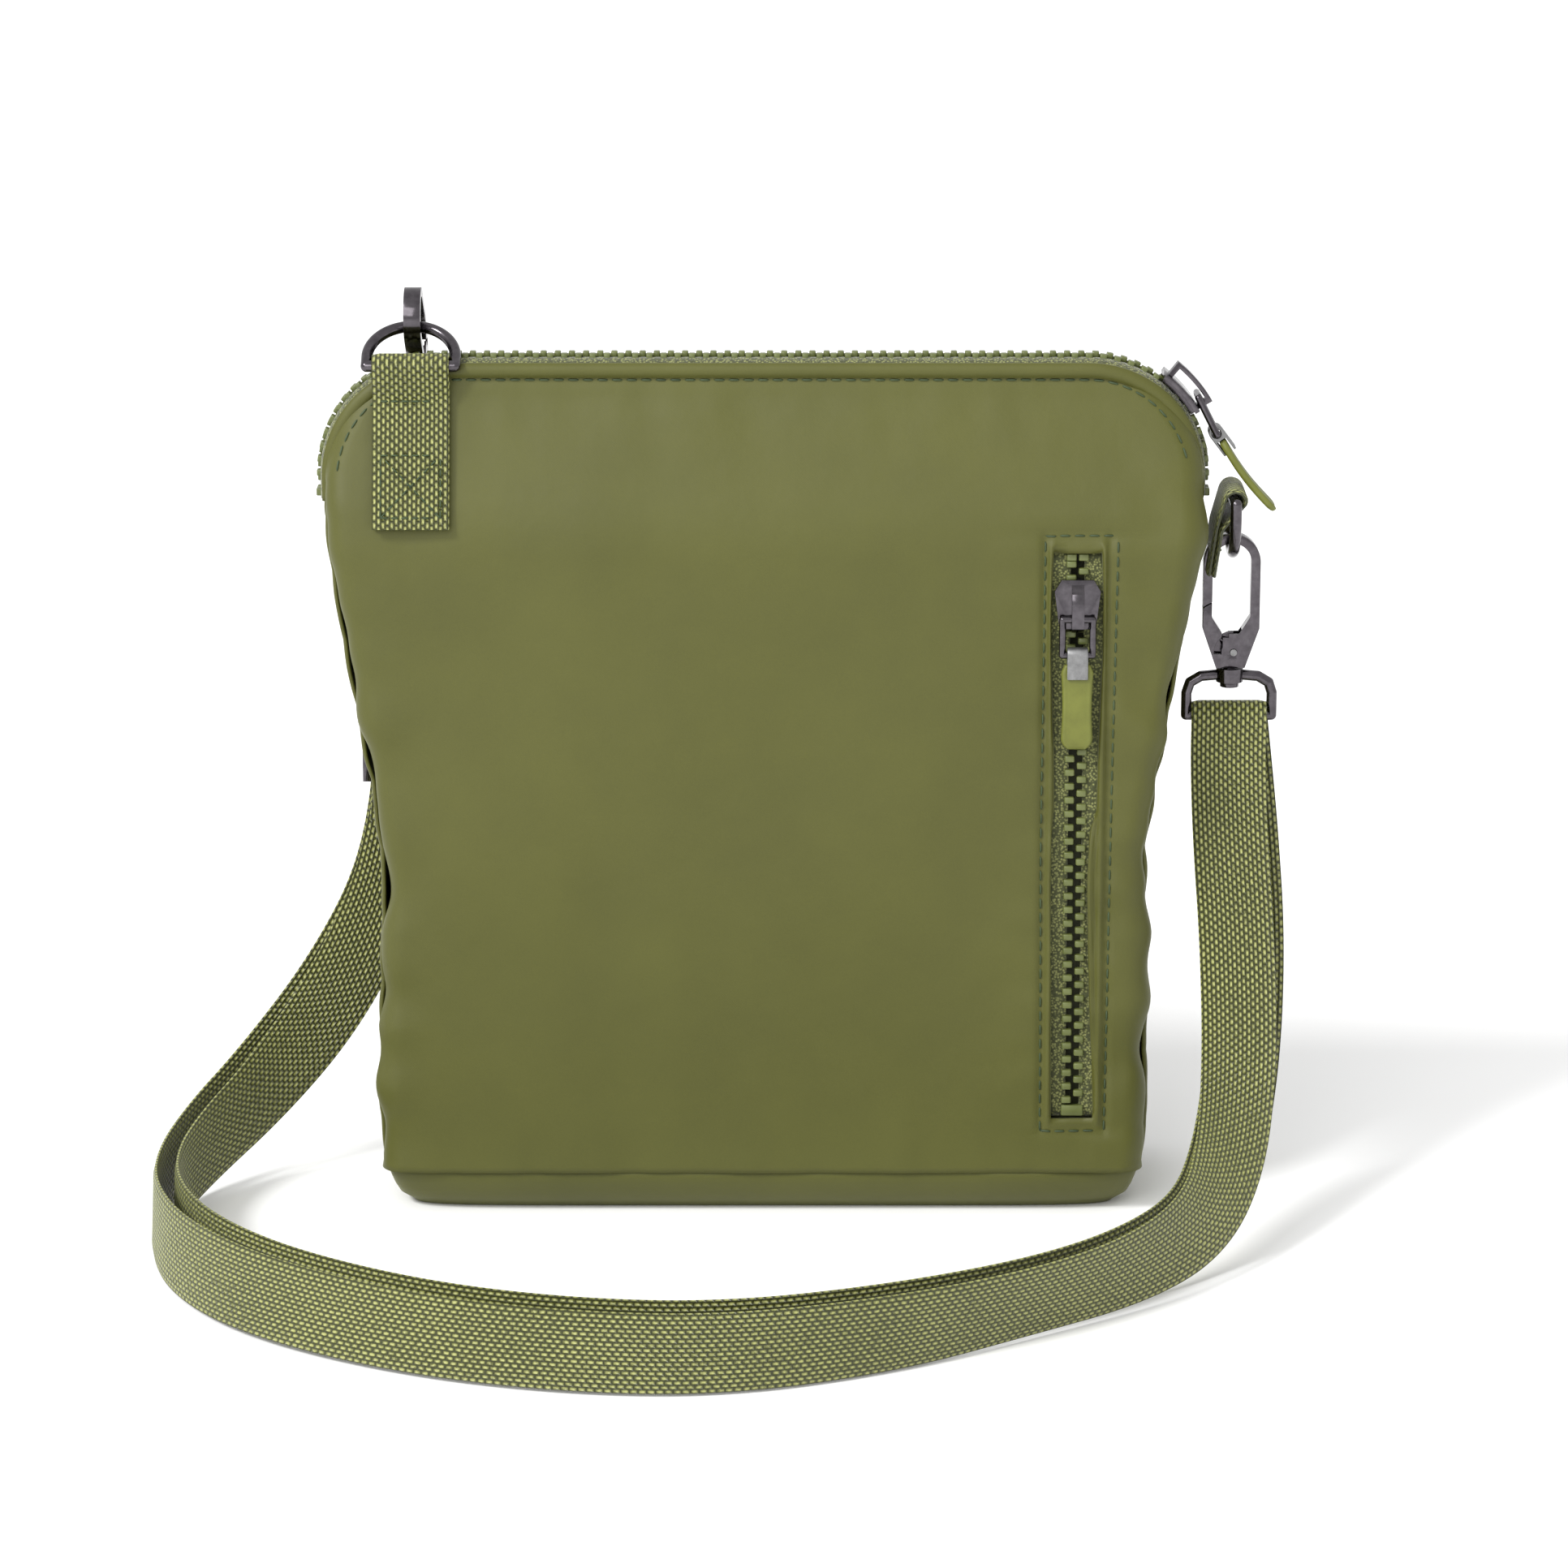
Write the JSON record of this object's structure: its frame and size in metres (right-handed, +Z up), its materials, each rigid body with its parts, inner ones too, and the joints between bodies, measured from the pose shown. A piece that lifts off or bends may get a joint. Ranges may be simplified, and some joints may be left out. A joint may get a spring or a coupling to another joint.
{
  "type": "crossbody purse",
  "caption": "Soft padded crossbody purse with a mouth zip over the top, an upright zip pocket, side rings and an adjustable webbing strap on snap hooks.",
  "frame": {"origin": "centre of the bag's base on the surface it stands on", "axes": "+Z up, -Y out of the rear panel with the zip pocket, +X to the right seen from there"},
  "size_m": [0.2996, 0.2055, 0.2446],
  "materials": {
    "shell_nylon": "soft satin nylon, fine weave",
    "lining_fabric": "plain lining",
    "zip_tape": "speckled knit",
    "zip_teeth": "semi-gloss moulded",
    "webbing": "pebble weave webbing with a sparkle",
    "gunmetal": "polished dark plating",
    "clamp_metal": "matte grey",
    "pull_rubber": "soft matte rubber",
    "spring_steel": "bright wire"
  },
  "bodies": {
    "root": {"bottom_panel": "shell_nylon", "front_panel": "shell_nylon", "gusset_left": "shell_nylon", "gusset_right": "shell_nylon", "lining": "lining_fabric", "main_zip_end_stops": "zip_teeth", "main_zip_tape_front": "zip_tape", "main_zip_tape_rear": "zip_tape", "main_zip_teeth_front": "zip_teeth", "main_zip_teeth_rear": "zip_teeth", "pocket_bag": "lining_fabric", "pocket_zip_end_stops": "zip_teeth", "pocket_zip_tape_left": "zip_tape", "pocket_zip_tape_right": "zip_tape", "pocket_zip_teeth_left": "zip_teeth", "pocket_zip_teeth_right": "zip_teeth", "rear_panel": "shell_nylon", "strap_long_run": "webbing", "strap_return_run": "webbing", "strap_slide": "gunmetal", "strap_tab_left": "webbing", "strap_tab_right": "webbing", "swivel_loop_left": "gunmetal", "swivel_loop_right": "gunmetal"},
    "pocket_slider": {"pocket_slider": "gunmetal"},
    "pocket_pull": {"pocket_pull_link": "gunmetal"},
    "pocket_tab": {"pocket_pull_clamp": "clamp_metal", "pocket_pull_tab": "pull_rubber"},
    "main_slider": {"main_slider": "gunmetal"},
    "main_pull": {"main_pull_link": "gunmetal"},
    "main_tab": {"main_pull_clamp": "clamp_metal", "main_pull_tab": "pull_rubber"},
    "ring_left": {"ring_left": "gunmetal"},
    "ring_right": {"ring_right": "gunmetal"},
    "hook_left": {"snap_hook_left": "gunmetal", "gate_rivet_left": "gunmetal", "gate_spring_left": "spring_steel"},
    "gate_left": {"hook_gate_left": "gunmetal"},
    "hook_right": {"snap_hook_right": "gunmetal", "gate_rivet_right": "gunmetal", "gate_spring_right": "spring_steel"},
    "gate_right": {"hook_gate_right": "gunmetal"}
  },
  "joints": [
    {"name": "pocket_slider_slide", "type": "slide", "parent": "root", "child": "pocket_slider", "axis": [0, -0.0514, -0.9987], "range_m": [0, 0.124]},
    {"name": "pocket_pull_swing", "type": "hinge", "parent": "pocket_slider", "child": "pocket_pull", "pos_m": [0.082, -0.02303, 0.16205], "axis": [-1, 0, 0], "range_deg": [0, 120]},
    {"name": "pocket_tab_swing", "type": "hinge", "parent": "pocket_pull", "child": "pocket_tab", "pos_m": [0.082, -0.02352, 0.15266], "axis": [-1, 0, 0], "range_deg": [0, 45]},
    {"name": "main_slider_travel", "type": "hinge", "parent": "root", "child": "main_slider", "pos_m": [0.085, 0, 0.1965], "axis": [0, -1, 0], "range_deg": [0, 38]},
    {"name": "main_pull_swing", "type": "hinge", "parent": "main_slider", "child": "main_pull", "pos_m": [0.11374, 0, 0.217], "axis": [0, -1, 0], "range_deg": [0, 90]},
    {"name": "main_tab_swing", "type": "hinge", "parent": "main_pull", "child": "main_tab", "pos_m": [0.11873, 0, 0.2072], "axis": [0, -1, 0], "range_deg": [0, 60]},
    {"name": "ring_left_swing", "type": "hinge", "parent": "root", "child": "ring_left", "pos_m": [-0.0915, -0.0095, 0.2265], "axis": [1, 0, 0], "range_deg": [0, 4]},
    {"name": "ring_right_swing", "type": "hinge", "parent": "root", "child": "ring_right", "pos_m": [0.1236, 0, 0.1902], "axis": [0, 1, 0], "range_deg": [-4, 4]},
    {"name": "hook_left_swivel", "type": "hinge", "parent": "root", "child": "hook_left", "pos_m": [-0.0915, 0.00303, 0.23861], "axis": [0, 0.8192, -0.5736], "range_deg": [-3, 3]},
    {"name": "gate_left_press", "type": "hinge", "parent": "hook_left", "child": "gate_left", "pos_m": [-0.0915, 0.02469, 0.22247], "axis": [1, 0, 0], "range_deg": [0, 20], "stiffness_Nm_per_rad": 0.004, "springref_deg": -17.19},
    {"name": "hook_right_swivel", "type": "hinge", "parent": "root", "child": "hook_right", "pos_m": [0.1236, 0, 0.1752], "axis": [0, 0, -1], "range_deg": [-12, 12]},
    {"name": "gate_right_press", "type": "hinge", "parent": "hook_right", "child": "gate_right", "pos_m": [0.1244, 0, 0.1482], "axis": [0, 1, 0], "range_deg": [0, 20], "stiffness_Nm_per_rad": 0.004, "springref_deg": -17.19}
  ]
}
